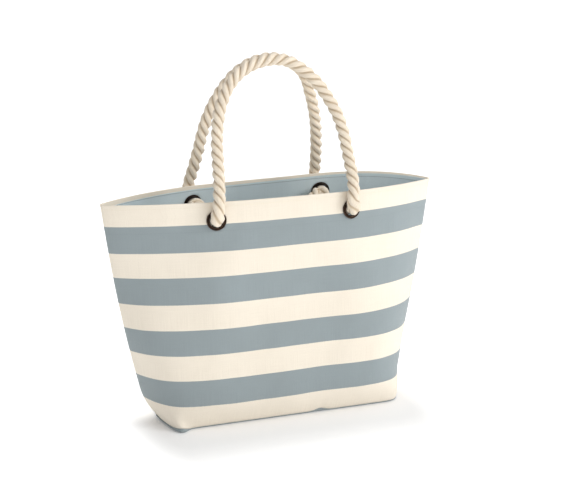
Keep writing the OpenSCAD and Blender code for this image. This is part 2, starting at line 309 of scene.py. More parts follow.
def roped(name, yarns, colour, shade):
    """Spun cotton, with painted shade in the grooves between strands and between yarns. UV is
    the turn around the rope from 0 to 1, and metres along it.
    """
    n = Nodes(name)
    uv, place = n.place("UV"), n.place()
    turn, along = n.along_axes(uv)
    wander = n.math("MULTIPLY", n.math("SUBTRACT", n.noise(place, 160.0), 0.5), 0.9)
    wave = n.math("MULTIPLY_ADD", turn, TAU * yarns, n.math("MULTIPLY", along, 95.0))
    yarn = n.math("SINE", n.math("ADD", wave, wander))
    yarn = n.math("MULTIPLY_ADD", yarn, 0.5, 0.5)
    fibre = n.noise(place, 1500.0, 3.0, 0.7)
    cloud = n.noise(place, 45.0, 3.0)
    # Painted shade: the colour goes towards the darker shade colour in the grooves between
    # strands.
    groove_shade = n.attribute("groove")
    base = n.mix(n.math("MULTIPLY", groove_shade, 0.85), colour, shade)
    tone = n.ramp(cloud, [(0.3, (0.94, 0.93, 0.915, 1)), (0.7, (1.02, 1.02, 1.02, 1))])
    # Painted shade: darker between the yarns, where the yarn bump is low.
    yarn_shade = n.ramp(yarn, [(0.0, (0.88, 0.86, 0.83, 1)), (0.5, (1, 1, 1, 1))])
    hair = n.ramp(fibre, [(0.30, (0.93, 0.92, 0.90, 1)), (0.62, (1.03, 1.03, 1.03, 1))])
    base = n.mix(1.0, base, tone, "MULTIPLY")
    base = n.mix(0.9, base, yarn_shade, "MULTIPLY")
    base = n.mix(1.0, base, hair, "MULTIPLY")
    n.set(n.shader.inputs["Base Color"], base)
    n.set(n.shader.inputs["Roughness"], n.math("MULTIPLY_ADD", fibre, 0.16, 0.78))
    coarse = n.bump(yarn, 0.0005, 0.8)
    n.set(n.shader.inputs["Normal"], n.bump(fibre, 0.00035, 0.7, coarse))
    n.shader.inputs["Sheen Weight"].default_value = 0.45
    n.shader.inputs["Sheen Roughness"].default_value = 0.4
    n.shader.inputs["Specular IOR Level"].default_value = 0.2
    return n.material


def bronzed(name):
    """Dark plated bronze, with copper on its ridge crests (from a point attribute): partly
    rubbed-through wear, partly a painted highlight.
    """
    n = Nodes(name)
    place = n.place()
    wear_and_highlight = n.attribute("wear_and_highlight")
    blotch = n.noise(place, 420.0, 4.0)
    grain = n.noise(place, 2600.0, 2.0)
    # Copper on the ridge crests: partly rubbed wear, partly painted highlight.
    amount = n.math("MULTIPLY", wear_and_highlight, n.math("MULTIPLY_ADD", blotch, 1.6, -0.25))
    amount = n.math("MAXIMUM", n.math("MINIMUM", amount, 1.0), 0.0)
    dark = n.ramp(blotch, [(0.3, srgb(24, 20, 18)), (0.7, srgb(40, 33, 29))])
    base = n.mix(amount, dark, srgb(120, 92, 74))
    n.set(n.shader.inputs["Base Color"], base)
    n.shader.inputs["Metallic"].default_value = 0.85
    rough = n.math("MULTIPLY_ADD", blotch, 0.22, 0.30)
    n.set(n.shader.inputs["Roughness"], n.math("MULTIPLY_ADD", amount, -0.08, rough))
    n.set(n.shader.inputs["Normal"], n.bump(n.math("ADD", blotch, grain), 0.00005, 0.5))
    return n.material


def boarded(name):
    """Raw pressed board: short fibres and darker specks."""
    n = Nodes(name)
    place = n.place()
    fibre = n.noise(n.stretch(place, (500.0, 160.0, 500.0)), 1.0, 4.0, 0.65)
    speck = n.noise(place, 700.0, 2.0)
    base = n.ramp(fibre, [(0.25, srgb(150, 130, 104)), (0.75, srgb(186, 168, 140))])
    dots = n.ramp(speck, [(0.27, (0.55, 0.5, 0.45, 1)), (0.36, (1, 1, 1, 1))])
    n.set(n.shader.inputs["Base Color"], n.mix(0.7, base, dots, "MULTIPLY"))
    n.set(n.shader.inputs["Roughness"], n.math("MULTIPLY_ADD", speck, 0.1, 0.85))
    n.set(n.shader.inputs["Normal"], n.bump(fibre, 0.0003, 0.6))
    return n.material


canvas = woven("striped_canvas", 0.0011, True, None)
blue_cloth = woven("blue_grey_cloth", 0.0007, False, BLUE, 0.88, 0.00010)
lining_cloth = woven("lining_cloth", 0.0007, False, LINING, 0.88, 0.00010)
# Each rope and thread takes its own colour, then a darker one that is painted shade in its
# grooves.
rope_cotton = roped("cotton_rope", 30, srgb(250, 238, 220), srgb(205, 183, 152))
bronze = bronzed("antique_bronze")
twine = roped("whipping_twine", 5, srgb(240, 232, 214), srgb(190, 172, 140))
cream_thread = roped("cream_thread", 3, srgb(240, 230, 210), srgb(205, 190, 160))
blue_thread = roped("blue_thread", 3, srgb(142, 153, 157), srgb(112, 122, 126))
board = boarded("stiffener_board")

# ---------------------------------------------------------------- shell

# Sizes are in millimetres. m runs from -1 at the left side seam to 1 at the right one, v from
# 0 at the base seam to 1 at the rim, and d is the depth below the outer face.
WALL_H = 332.0
RIM_HALF_W, BASE_HALF_W = 259, 197
SIDE_BOW, FACE_BOW = 5.5, 4
FRONT_LOW_D, FRONT_MOUTH_D = 84, 66
BACK_LOW_D, BACK_MOUTH_D = 86, 59
FOOT_V, HEEL_IN = 0.14, 18
FOOT_IN_LEFT, FOOT_IN_RIGHT = 13, 2
RIM_P_FRONT, RIM_P_BACK_LEFT, RIM_P_BACK_RIGHT = 2.65, 2.45, 3.0
CORNER_P, FOOT_P = 10, 17
TIP_ROUND_LEFT, TIP_ROUND_RIGHT = 0.13, 0.04
TIP_DROP, TIP_SAG = 5, 3
CORNER_PULL = 16
BACK_RISE = 5
SEAM_Z, SEAM_SIDE_Z = 5.0, 3.5
SEAM_LIFTS = ((5.6, -0.91, 0.055), (3.6, 0.27, 0.05))  # height, m, spread: corner, pucker
SEAM_SINK = 2.7
HEM_H = 46.0
RIM_STITCH, HEM_STITCH = 8, 43
RIM_GROOVE, HEM_GROOVE = {False: 0.55, True: 0.12}, 0.40
FOLD_SIZE, RIPPLE_SIZE = 1.15, 0.13
CANVAS_T, LINING_T = 1.2, 0.8
FOLD_R, FOLD_GAP = 1.3, 0.1
TUCK_OUT, TUCK_IN = 2.6, 1.4
EYELET_X, EYELET_V = 103.5, 1 - 27.5 / WALL_H
EYELET_SHIFT = {False: -2.3, True: -3.5}
FRONT_ROLL, BACK_ROLL = 2.8, 1.5
HOLE_R = 11.5
PANEL_COLUMNS, LINING_COLUMNS = 104, 96

rng = np.random.default_rng(7)


def waves(count, shortest, longest, flat):
    """Random soft waves in x and z; flat < 1 makes them run upright."""
    length = rng.uniform(shortest, longest, count)
    angle = rng.uniform(-np.pi / 2, np.pi / 2, count) * flat
    phase = rng.uniform(0, TAU, count)
    size = (length / longest) ** 1.2
    return length, angle, phase, size / np.sqrt((size**2).sum() / 2)


FOLDS = {side: waves(14, 55, 230, 0.55) for side in (False, True)}
RIPPLES = {side: waves(18, 18, 55, 1.0) for side in (False, True)}


def field(spec, x, z):
    length, angle, phase, size = spec
    total = np.zeros(np.broadcast(x, z).shape)
    for w, a, p, s in zip(length, angle, phase, size):
        total += s * np.sin(TAU / w * (x * np.cos(a) + z * np.sin(a)) + p)
    return total


def foot(v):
    return np.clip(1 - v / FOOT_V, 0, None) ** 2


def half_width(v, d, m=1.0):
    """The left foot is drawn in much further than the right one."""
    drawn_in = np.where(m < 0, FOOT_IN_LEFT, FOOT_IN_RIGHT)
    return (
        BASE_HALF_W
        + (RIM_HALF_W - BASE_HALF_W) * v
        + SIDE_BOW * np.sin(np.pi * v)
        - drawn_in * foot(v)
        - d * (1 + 0.6 * v)
    )


def half_depth(v, d, back):
    low, mouth = (BACK_LOW_D, BACK_MOUTH_D) if back else (FRONT_LOW_D, FRONT_MOUTH_D)
    bow = FACE_BOW * np.sin(np.pi * v)
    return low + (mouth - low) * v + bow - HEEL_IN * foot(v) - d


def across(m, v, back):
    """How far the wall has come in towards the side seam: 1 in the middle, 0 at the seam."""
    rim = np.where(m < 0, RIM_P_BACK_LEFT, RIM_P_BACK_RIGHT) if back else RIM_P_FRONT
    power = rim + (CORNER_P - rim) * (1 - v) ** 2 + FOOT_P * foot(v)
    k = np.abs(m) ** power
    s = 1 - k
    tip = np.where(m < 0, TIP_ROUND_LEFT, TIP_ROUND_RIGHT) * smooth(v / 0.3)
    return k, np.sqrt(s * s + tip * s) / np.sqrt(1 + tip)


def seam_rise(m, v, back):
    """The front's base seam nearly touches the floor, save at the left corner and a pucker."""
    if back:
        return 0 * m * v
    lifted = sum(height * bell(m, at, spread) for height, at, spread in SEAM_LIFTS)
    ease = 1 - smooth((np.abs(m) - 0.93) / 0.07)
    return (lifted - SEAM_SINK * ease) * np.clip(1 - v / 0.10, 0, 1) ** 2


def dog_ear(m, v, back):
    """The front left corner of the base is pulled out forwards."""
    if back:
        return 0 * m * v
    return CORNER_PULL * bell(m, -0.92, 0.075) * np.clip(1 - v / 0.12, 0, 1) ** 2


def back_rise(m, v):
    """The right half of the back rim stands up above the rest."""
    return BACK_RISE * v * v * bell(m, 0.65, 0.4) * (1 - np.abs(m) ** 16)


def bare(m, v, d, lift, back):
    k, s = across(m, v, back)
    y = half_depth(v, d, back) * s + dog_ear(m, v, back)
    middle = SEAM_Z + WALL_H * v
    tip_h = SEAM_Z + WALL_H - TIP_DROP - SEAM_SIDE_Z
    side = SEAM_SIDE_Z + tip_h * v - TIP_SAG * np.sin(np.pi * v)
    z = middle + (side - middle) * k + lift + seam_rise(m, v, back)
    if back:
        z = z + back_rise(m, v)
    return np.stack([half_width(v, d, m) * m, y if back else -y, z], -1)


def outward(m, v, back, e=2e-3):
    """Unit normal of the outer face."""
    m0, m1 = np.clip(m - e, -0.9995, 1), np.clip(m + e, -1, 0.9995)
    a = bare(m1, v, 0, 0, back) - bare(m0, v, 0, 0, back)
    b = bare(m, v + e, 0, 0, back) - bare(m, v - e, 0, 0, back)
    return unit(np.cross(a, b) * (-1 if back else 1))


def eyelet_x(left, back):
    return (-EYELET_X if left else EYELET_X) + EYELET_SHIFT[back]


def eyelet_m(left, back):
    return eyelet_x(left, back) / half_width(EYELET_V, 0)


def from_eyelet(x, z, left, back):
    """Steps from an eyelet to a place on the wall laid flat."""
    return x - eyelet_x(left, back), z - EYELET_V * WALL_H


def relief(m, v, back):
    """How far the cloth stands out from its ideal shape, in millimetres."""
    x, z = m * half_width(v, 0), v * WALL_H
    edge = np.clip(1 - np.abs(m), 0, 1) * 260
    soft = FOLD_SIZE * field(FOLDS[back], x, z) * (0.35 + 0.65 * smooth((1 - v) / 0.25))
    fine = RIPPLE_SIZE * field(RIPPLES[back], x, z)
    out = (soft + fine) * smooth(v / 0.10) * smooth(edge / 30)
    calm = 1.0
    for left in (True, False):
        far = np.hypot(*from_eyelet(x, z, left, back))
        calm = calm * smooth((far - 16) / 34)
        out = out + 0.35 * bell(far, 19, 4.0)
    out = out * (0.15 + 0.85 * calm)
    out = out - RIM_GROOVE[back] * bell(z, WALL_H - RIM_STITCH, 1.6)
    out = out - HEM_GROOVE * bell(z, WALL_H - HEM_STITCH, 1.8)
    out = out + 0.35 * bell(z, 4.5, 4.0) * smooth(edge / 4)
    out = out - 0.7 * bell(edge, 0, 1.5) * smooth((1 - v) / 0.02)
    return out


def wall(m, v, d, lift, back):
    m, v = np.broadcast_arrays(np.asarray(m, float), np.asarray(v, float))
    shift = relief(m, v, back)[..., None] * outward(m, v, back)
    return bare(m, v, d, lift, back) + shift


def columns(half):
    t = np.abs(np.arange(-half, half + 1)) / half
    return np.sign(np.arange(-half, half + 1)) * (1 - (1 - t) ** 1.8)


def round_hole(m, v, keep, left, back):
    """Cuts an eyelet's hole in a grid and moves the points on its edge onto a circle."""
    dx, dz = from_eyelet(m * half_width(v, 0), v * WALL_H, left, back)
    gone = (
        np.hypot((dx[:-1, :-1] + dx[1:, 1:]) / 2, (dz[:-1, :-1] + dz[1:, 1:]) / 2) < HOLE_R
    )
    padded = np.pad(gone, 1)
    around = padded[:-1, :-1], padded[1:, :-1], padded[:-1, 1:], padded[1:, 1:]
    edge = np.any(around, axis=0) & ~np.all(around, axis=0)
    k = np.where(edge, HOLE_R / np.maximum(np.hypot(dx, dz), 1e-6), 1.0)
    at = eyelet_m(left, back)
    m = np.where(edge, at + (m - at) * k, m)
    v = np.where(edge, EYELET_V + (v - EYELET_V) * k, v)
    return m, v, keep & ~gone


def cloth(name, half, rows, back, material, top=None):
    """A closed sheet over a grid of columns and rows, with round holes for the eyelets.

    A row is [v, outer depth, outer lift, inner depth, inner lift, distance from the rim]."""
    rows = np.asarray(rows, float)
    m, v = np.meshgrid(columns(half), rows[:, 0], indexing="ij")
    if top is not None:
        v = v * top(m)
    keep = np.ones((m.shape[0] - 1, m.shape[1] - 1), bool)
    for left in (True, False):
        m, v, keep = round_hole(m, v, keep, left, back)
    outer = wall(m, v, rows[None, :, 1], rows[None, :, 2], back)
    inner = wall(m, v, rows[None, :, 3], rows[None, :, 4], back)
    ids = np.arange(m.size).reshape(m.shape)
    a, b, c, d = ids[:-1, :-1], ids[1:, :-1], ids[1:, 1:], ids[:-1, 1:]
    front = np.stack([a, b, c, d], -1)[keep]
    faces = [front, front[:, ::-1] + m.size]
    grown = np.pad(keep, 1)
    for shift, (p, q) in (
        (grown[:-2, 1:-1], (d, a)),
        (grown[2:, 1:-1], (b, c)),
        (grown[1:-1, :-2], (a, b)),
        (grown[1:-1, 2:], (c, d)),
    ):
        border = keep & ~shift
        p, q = p[border], q[border]
        faces.append(np.stack([q, p, p + m.size, q + m.size], -1))
    faces = np.concatenate(faces)
    points = np.concatenate([outer.reshape(-1, 3), inner.reshape(-1, 3)])
    step = np.linalg.norm(np.diff(outer, axis=0), axis=-1)
    u = np.concatenate([np.zeros((1, len(rows))), np.cumsum(step, 0)])
    u = u - u[half : half + 1]
    down = np.broadcast_to(rows[:, 5], m.shape)
    uv = np.stack([u, down], -1).reshape(-1, 2) * MM
    used = np.unique(faces)
    renumber = np.full(len(points), -1)
    renumber[used] = np.arange(len(used))
    both_uv = np.concatenate([uv, uv])[used]
    obj = make(name, points[used], renumber[faces], material, both_uv)
    face_outward(obj)
    return obj


def wall_rows(top, count):
    """Rows of v from top to the base seam, closer together at the foot."""
    t = np.linspace(0, 1, count)
    return top * (1 - t) ** 1.12


def panel(name, back):
    fold_v = 1 - (BACK_ROLL if back else FRONT_ROLL) / WALL_H
    tuck = np.linspace(1 - HEM_H / WALL_H, fold_v, 13)[:-1]
    rows = [[v, TUCK_OUT, 0, TUCK_IN, 0, -(WALL_H * (1 - v))] for v in tuck]
    for angle in np.radians(np.linspace(180, 0, 9)):
        far = FOLD_R - FOLD_R * np.cos(angle)
        near = FOLD_R - FOLD_GAP * np.cos(angle)
        far_up, near_up = FOLD_R * np.sin(angle), FOLD_GAP * np.sin(angle)
        rows.append([fold_v, far, far_up, near, near_up, -FOLD_R * angle])
    for v in wall_rows(fold_v, 88)[1:]:
        rows.append([v, 0, 0, CANVAS_T, 0, WALL_H * (1 - v)])
    obj = cloth(name, PANEL_COLUMNS, rows, back, canvas)
    stand_in(obj, name)
    return obj


def lining_top(m):
    """The lining's upper edge rises towards the right."""
    return 1 - (5.0 - 2.3 * m) / WALL_H


def lining_depth(v):
    low, high = CANVAS_T + 0.5, TUCK_OUT + 0.3
    return low + (high - low) * smooth((v - 0.70) / 0.05)


def lining(name, back):
    rows = []
    top_edge = 1 - np.array([0, 0.3, 1.0, 2.2]) / WALL_H
    for v in np.concatenate([top_edge, wall_rows(1, 80)[1:]]):
        d = lining_depth(v)
        rows.append([v, d, 0, d + LINING_T, 0, WALL_H * (1 - v)])
    obj = cloth(name, LINING_COLUMNS, rows, back, lining_cloth, lining_top)
    stand_in(obj, name)
    return obj


front_panel = panel("front_panel", False)
back_panel = panel("back_panel", True)
front_lining = lining("front_lining", False)
back_lining = lining("back_lining", True)

# ---------------------------------------------------------------- base


def outline(inset):
    """The base seam, anticlockwise from the right, pulled in by inset."""
    m = columns(PANEL_COLUMNS)[::-1]
    sides = []
    for back, ms in ((True, m), (False, m[::-1][1:-1])):
        k, s = across(ms, np.zeros_like(ms), back)
        y = half_depth(0.0, inset, back) * s + dog_ear(ms, 0.0 * ms, back)
        y = y * (1 if back else -1)
        height = SEAM_Z + (SEAM_SIDE_Z - SEAM_Z) * k + seam_rise(ms, 0.0 * ms, back)
        sides.append(np.stack([(half_width(0.0, 0, ms) - inset) * ms, y, height], -1))
    return np.concatenate(sides)


INSET_MOST = 30.0  # further in than this, rings are scaled instead of inset
SCALED_SPAN = 60.0


def dish(name, rings, material):
    """A closed sheet through rings (inset, height, share of the seam's height, wave)."""
    shapes = []
    for inset, z, share, wave in rings:
        ring = outline(min(inset, INSET_MOST))
        flat = ring[:, :2] * (1 - max(inset - INSET_MOST, 0) / SCALED_SPAN)
        angle = np.arctan2(flat[:, 1] * 2, flat[:, 0])
        height = z + share * ring[:, 2] + wave * np.sin(angle * 9 + inset * 0.2)
        shapes.append(np.column_stack([flat, height]))
    n, count = len(shapes), len(shapes[0])
    points = np.concatenate(shapes)
    j = np.arange(count)
    k = (j + 1) % count
    faces = []
    for i in range(n - 1):
        p, q = i * count, (i + 1) * count
        faces.extend(np.stack([p + j, q + j, q + k, p + k], -1))
    faces.append(j[::-1])
    faces.append((n - 1) * count + j)
    obj = make(name, points, faces, material, points[:, :2] * MM)
    face_outward(obj)
    stand_in(obj, name)
    return obj


def level(height, insets):
    """Flat rings at one height."""
    return [(inset, height, 0, 0) for inset in insets]


base_panel = dish(
    "base_panel",
    level(0.05, (84, 60, 36, 20))
    + [
        (9, 0.06, 0, 0), (5, 0.1, 0, 0), (2.4, 0.25, 0, 0), (0.9, 0, 0.25, 0),
        (0.0, 0, 0.5, 0), (-0.35, 0, 0.75, 0), (-0.2, 0, 0.9, 0), (0.3, -0.12, 1, 0),
        (1.3, -0.12, 1, 0), (1.45, 0.3, 0.7, 0), (2.6, 1.5, 0, 0), (5, 1.28, 0, 0),
    ]
    + level(1.25, (9, 20, 36, 60, 84)),
    blue_cloth,
)
base_lining = dish(
    "base_lining",
    level(3.95, (84, 60, 36))
    + [
        (20, 3.98, 0, 0.05), (9, 4.05, 0, 0.1), (5, 4.2, 0, 0.1), (3.2, 4.4, 0, 0.1),
        (3.0, 4.9, 0, 0.1), (3.3, 5.2, 0, 0.1), (5, 5.0, 0, 0.1), (9, 4.85, 0, 0.1),
        (20, 4.78, 0, 0.05),
    ]
    + level(4.75, (36, 60, 84)),
    blue_cloth,
)
base_board = frame["nodes"]["base_board"]
base_board.data.materials.clear()
base_board.data.materials.append(board)

# ---------------------------------------------------------------- eyelets


def eyelet_frame(left, back):
    """Centre of an eyelet on the outer face, with its outward, downward and +X directions."""
    m = np.array([eyelet_m(left, back)])
    v = np.array([EYELET_V])
    centre = bare(m, v, 0, 0, back)[0]
    n = outward(m, v, back, 1e-2)[0]
    down = unit(np.array([0, 0, -1.0]) + n * n[2])
    side = np.cross(down, n) * (1 if back else -1)
    return centre, n, down, side


TURNS = 84
FLANGE_FROM = 12  # radius from which dents show


def lathe(name, profile, wear_and_highlight, left, back, dents=0.0):
    """Turns a closed profile of [radius, height] about an eyelet's axis."""
    centre, n, down, side = eyelet_frame(left, back)
    profile = np.asarray(profile, float)
    count = len(profile)
    angle = TAU * np.arange(TURNS) / TURNS
    points = []
    for a in angle:
        wobble = dents * (np.sin(3 * a + 1) + 0.6 * np.sin(7 * a + 2))
        radius = profile[:, 0] + wobble * (profile[:, 0] > FLANGE_FROM)
        spoke = down * np.cos(a) + side * np.sin(a)
        points.append(centre + np.outer(radius, spoke) + np.outer(profile[:, 1], n))
    j = np.arange(count)
    k = (j + 1) % count
    faces = []
    for i in range(TURNS):
        p, q = i * count, ((i + 1) % TURNS) * count
        faces.extend(np.stack([p + j, p + k, q + k, q + j], -1))
    obj = make(name, np.concatenate(points), faces, bronze)
    face_outward(obj)
    # Point attribute for copper on the crests: rubbed wear and painted highlight.
    layer = obj.data.attributes.new("wear_and_highlight", "FLOAT", "POINT")
    layer.data.foreach_set("value", np.tile(np.asarray(wear_and_highlight, np.float32), TURNS))
    stand_in(obj, name)


def arc(cx, cy, radius, start, stop, steps):
    a = np.radians(np.linspace(start, stop, steps))
    return np.stack([cx + radius * np.cos(a), cy + radius * np.sin(a)], -1)


LIP = 5.3
flange = np.concatenate(
    [
        arc(13.3, 1.15, 1.2, -75, 150, 13),
        arc(12.0, 1.35, 0.5, 300, 215, 5),
        arc(11.25, 1.55, 1.2, 60, 185, 10),
        [[10.02, 0.2], [10.0, -1.5], [10.0, -3.5], [10.0, -LIP - 0.2]],
        arc(11.2, -LIP - 0.5, 1.2, 185, 330, 8),
        [[12.2, -LIP], [11.0, -LIP + 0.05], [11.0, -2.5], [11.0, 0.15]],
    ]
)
# Flange ridge crests that get copper: rubbed wear and painted highlight.
flange_wear_and_highlight = np.zeros(len(flange))
flange_wear_and_highlight[6:10] = (0.3, 0.8, 0.8, 0.3)
flange_wear_and_highlight[19:24] = (0.3, 0.9, 1.0, 0.6, 0.2)
washer_ring = np.concatenate(
    [
        [[11.1, -5.15], [11.1, -4.25], [13.0, -4.22]],
        arc(13.8, -4.75, 0.62, 55, -60, 7),
        arc(13.0, -5.1, 0.35, 70, 140, 4),
        [[12.3, -5.18]],
    ]
)
# Washer outer rim that gets copper: rubbed wear and painted highlight.
washer_wear_and_highlight = np.where(washer_ring[:, 0] > 13.4, 0.5, 0.1)
CORNERS = [
    ("front_left", True, False),
    ("front_right", False, False),
    ("back_left", True, True),
    ("back_right", False, True),
]
for corner, left, back in CORNERS:
    lathe("eyelet_" + corner, flange, flange_wear_and_highlight, left, back, dents=0.05)
    lathe("washer_" + corner, washer_ring, washer_wear_and_highlight, left, back)

# ---------------------------------------------------------------- rope

ROPE_R, STRAND_R = 9.2, 5.0
LAY = 43.0
ROPE_STEP = 1.6
AROUND = 48
FRONT_ROUTE = [
    (-106.5, -75, 324), (-104.5, -71.8, 336), (-102.5, -67.3, 347), (-100.5, -60.6, 364),
    (-98.8, -50.5, 393), (-97.2, -43, 420), (-93.5, -36.5, 443), (-88, -31, 463),
    (-77, -24.5, 486), (-57, -18, 508), (-35, -14.5, 520), (-9, -12.5, 526),
    (16, -13, 525), (38, -16.5, 513.5), (60, -22, 494.5), (77, -29, 469.5),
    (88.5, -35.5, 447), (96, -43, 420), (100.3, -54, 383), (102.5, -63.4, 358),
    (101.5, -71.2, 338), (98.5, -75.2, 324),
]
BACK_ROUTE = [
    (-108.8, 67, 327), (-107.8, 63, 339.5), (-105, 58.3, 352.5), (-101, 53, 371),
    (-96.5, 48, 392), (-91.5, 40.3, 421), (-84, 33.3, 447), (-73.5, 27, 470),
    (-59.5, 20.8, 492), (-40, 14, 512), (-20, 10.8, 522), (2, 9.8, 525.5),
    (24, 10.8, 522), (46, 14.5, 511), (60.5, 19.8, 495.5), (72, 28, 467),
    (79.5, 34, 446), (86, 41.5, 421), (91, 51, 390), (94, 60, 362),
    (95.5, 67.5, 341), (97.5, 71, 327),
]
CUT_DEPTH = 3.0


def curve_through(points, step):
    """A smooth curve through points, as even steps."""
    p = np.asarray(points, float)
    h = np.maximum(np.linalg.norm(np.diff(p, axis=0), axis=1), 1e-6)
    slope = np.diff(p, axis=0) / h[:, None]
    tangent = np.empty_like(p)
    tangent[1:-1] = (slope[:-1] * h[1:, None] + slope[1:] * h[:-1, None]) / (
        h[1:] + h[:-1]
    )[:, None]
    tangent[0], tangent[-1] = slope[0], slope[-1]
    fine = []
    for i in range(len(h)):
        t = np.linspace(0, 1, 24, endpoint=False)[:, None]
        fine.append(
            (2 * t**3 - 3 * t**2 + 1) * p[i]
            + (t**3 - 2 * t**2 + t) * h[i] * tangent[i]
            + (-2 * t**3 + 3 * t**2) * p[i + 1]
            + (t**3 - t**2) * h[i] * tangent[i + 1]
        )
    fine = np.concatenate(fine + [p[-1:]])
    for _ in range(60):
        fine[1:-1] = 0.25 * fine[:-2] + 0.5 * fine[1:-1] + 0.25 * fine[2:]
    run = run_along(fine)
    count = int(round(run[-1] / step)) + 1
    return sample(np.linspace(0, run[-1], count), run, fine)


def carried_frames(line):
    """A tangent and a sideways direction that twists as little as it can along a curve."""
    tangent = unit(np.gradient(line, axis=0))
    side = np.empty_like(line)
    side[0] = unit(np.cross(tangent[0], [0.3, 1.0, 0.2]))
    for i in range(1, len(line)):
        s = side[i - 1] - tangent[i] * (side[i - 1] @ tangent[i])
        side[i] = s / np.linalg.norm(s)
    return tangent, side, np.cross(tangent, side)


def strand_radius(angle):
    """Outline of three strands laid together, as a share of the rope's radius."""
    a = (np.asarray(angle) + TAU / 6) % (TAU / 3) - TAU / 6
    c = ROPE_R - STRAND_R
    r = c * np.cos(a) + np.sqrt(np.maximum(STRAND_R**2 - (c * np.sin(a)) ** 2, 0))
    return r / ROPE_R, smooth((np.abs(a) - 0.55) / 0.48)


def rope_mesh(name, line, run, frames, scale, squeeze):
    """A closed three-strand rope along part of a curve; run is the length along it."""
    tangent, side, other = frames
    turn = -TAU * run / LAY
    j = np.arange(AROUND)
    theta = turn[:, None] + TAU * j[None, :] / AROUND
    radius, groove = strand_radius(TAU * j / AROUND)
    strand = (j * 3 // AROUND)[None, :]
    swell = 1 + 0.018 * np.sin(run[:, None] / 13.0 + strand * 2.1) * (1 - groove[None])
    swell = swell + 0.010 * np.sin(run[:, None] / 4.1 + strand * 4.0 + j * 0.7)
    yarn = 0.010 * np.cos(24 * theta + run[:, None] * 0.22) * (1 - groove[None, :])
    outline_r = radius[None, :] + (0.955 - radius[None, :]) * squeeze[:, None]
    r = ROPE_R * scale[:, None] * (outline_r * swell + yarn)
    points = (
        line[:, None, :]
        + (r * np.cos(theta))[..., None] * side[:, None, :]
        + (r * np.sin(theta))[..., None] * other[:, None, :]
    )
    n = len(line)
    ids, nxt, quads = ring_quads(n, AROUND)
    mesh_points = np.concatenate([points.reshape(-1, 3), line[[0, -1]]])
    first, last = n * AROUND, n * AROUND + 1
    fans = [(first, nxt[0, i], ids[0, i]) for i in range(AROUND)]
    fans += [(last, ids[-1, i], nxt[-1, i]) for i in range(AROUND)]
    faces = [tuple(q) for q in quads] + fans
    obj = make(name, mesh_points, faces, rope_cotton)
    layer = obj.data.uv_layers.new(name="uv")
    uv = np.zeros((len(obj.data.loops), 2), np.float32)
    row = np.repeat(np.arange(n - 1), AROUND)
    col = np.tile(j, n - 1)
    base_turn = turn / TAU
    for corner, (dr, dc) in enumerate(((0, 0), (0, 1), (1, 1), (1, 0))):
        at = np.arange(len(quads)) * 4 + corner
        uv[at, 0] = base_turn[row + dr] + (col + dc) / AROUND
        uv[at, 1] = run[row + dr] * MM
    layer.data.foreach_set("uv", uv.ravel())
    # The groove attribute also masks the painted shade in the rope material.
    attribute = obj.data.attributes.new("groove", "FLOAT", "POINT")
    values = np.concatenate([np.tile(groove, n), [0.3, 0.3]]).astype(np.float32)
    attribute.data.foreach_set("value", values)
    return obj


def knot_points(left, back, lean, drop, flip):
    """From the knot's tail up to the eyelet's barrel: an overhand knot inside the bag.

    Each point is down the wall, to the +X side, and in from the outer face."""
    grip, thick = 6.3, 8.4
    ks, kd, kc = lean + flip * 4.0, drop, 25.5
    bend = [
        (0, 0, -1.0), (0, 0, 4.0), (0, 0, 9.0), (-1.0, lean * 0.2, 14.5),
        (kd - 17.5, lean * 0.6 - flip * 2.0, 22.0),
    ]
    loop = []
    for t in np.linspace(np.pi + 0.78, 3 * np.pi - 0.78, 15):
        x = np.sin(t) + 2 * np.sin(2 * t)
        y = np.cos(t) - 2 * np.cos(2 * t)
        z = -np.sin(3 * t)
        loop.append((kd - grip * x, ks + flip * grip * y, kc + thick * z))
    tail = [
        (kd + 14.5, lean - flip * 5.0, 20.0), (41.0, lean * 0.5 - flip * 3.0, 21.5),
        (51.0, lean * 0.2, 24.5), (60.0, 0, 26.0), (68.0, 0, 26.3),
    ]
    centre, n, down, side = eyelet_frame(left, back)
    return [centre + down * a + side * b - n * c for a, b, c in bend + loop + tail]


KNOTS = {
    "front_left": (3.0, 17.0, 1),
    "front_right": (-4.0, 17.0, -1),
    "back_left": (3.0, 15.0, -1),
    "back_right": (-2.0, 15.0, -1),
}


def throat_to_route(left, back, first):
    """Out of the barrel and round the fold up to the route's first point."""
    centre, n, down, _ = eyelet_frame(left, back)
    first = np.asarray(first, float)
    return [
        centre + n * 4.0,
        centre + n * 8.4 - down * 1.2,
        centre + n * 11.6 - down * 4.6 + (first - centre) * np.array([0.15, 0, 0]),
    ]


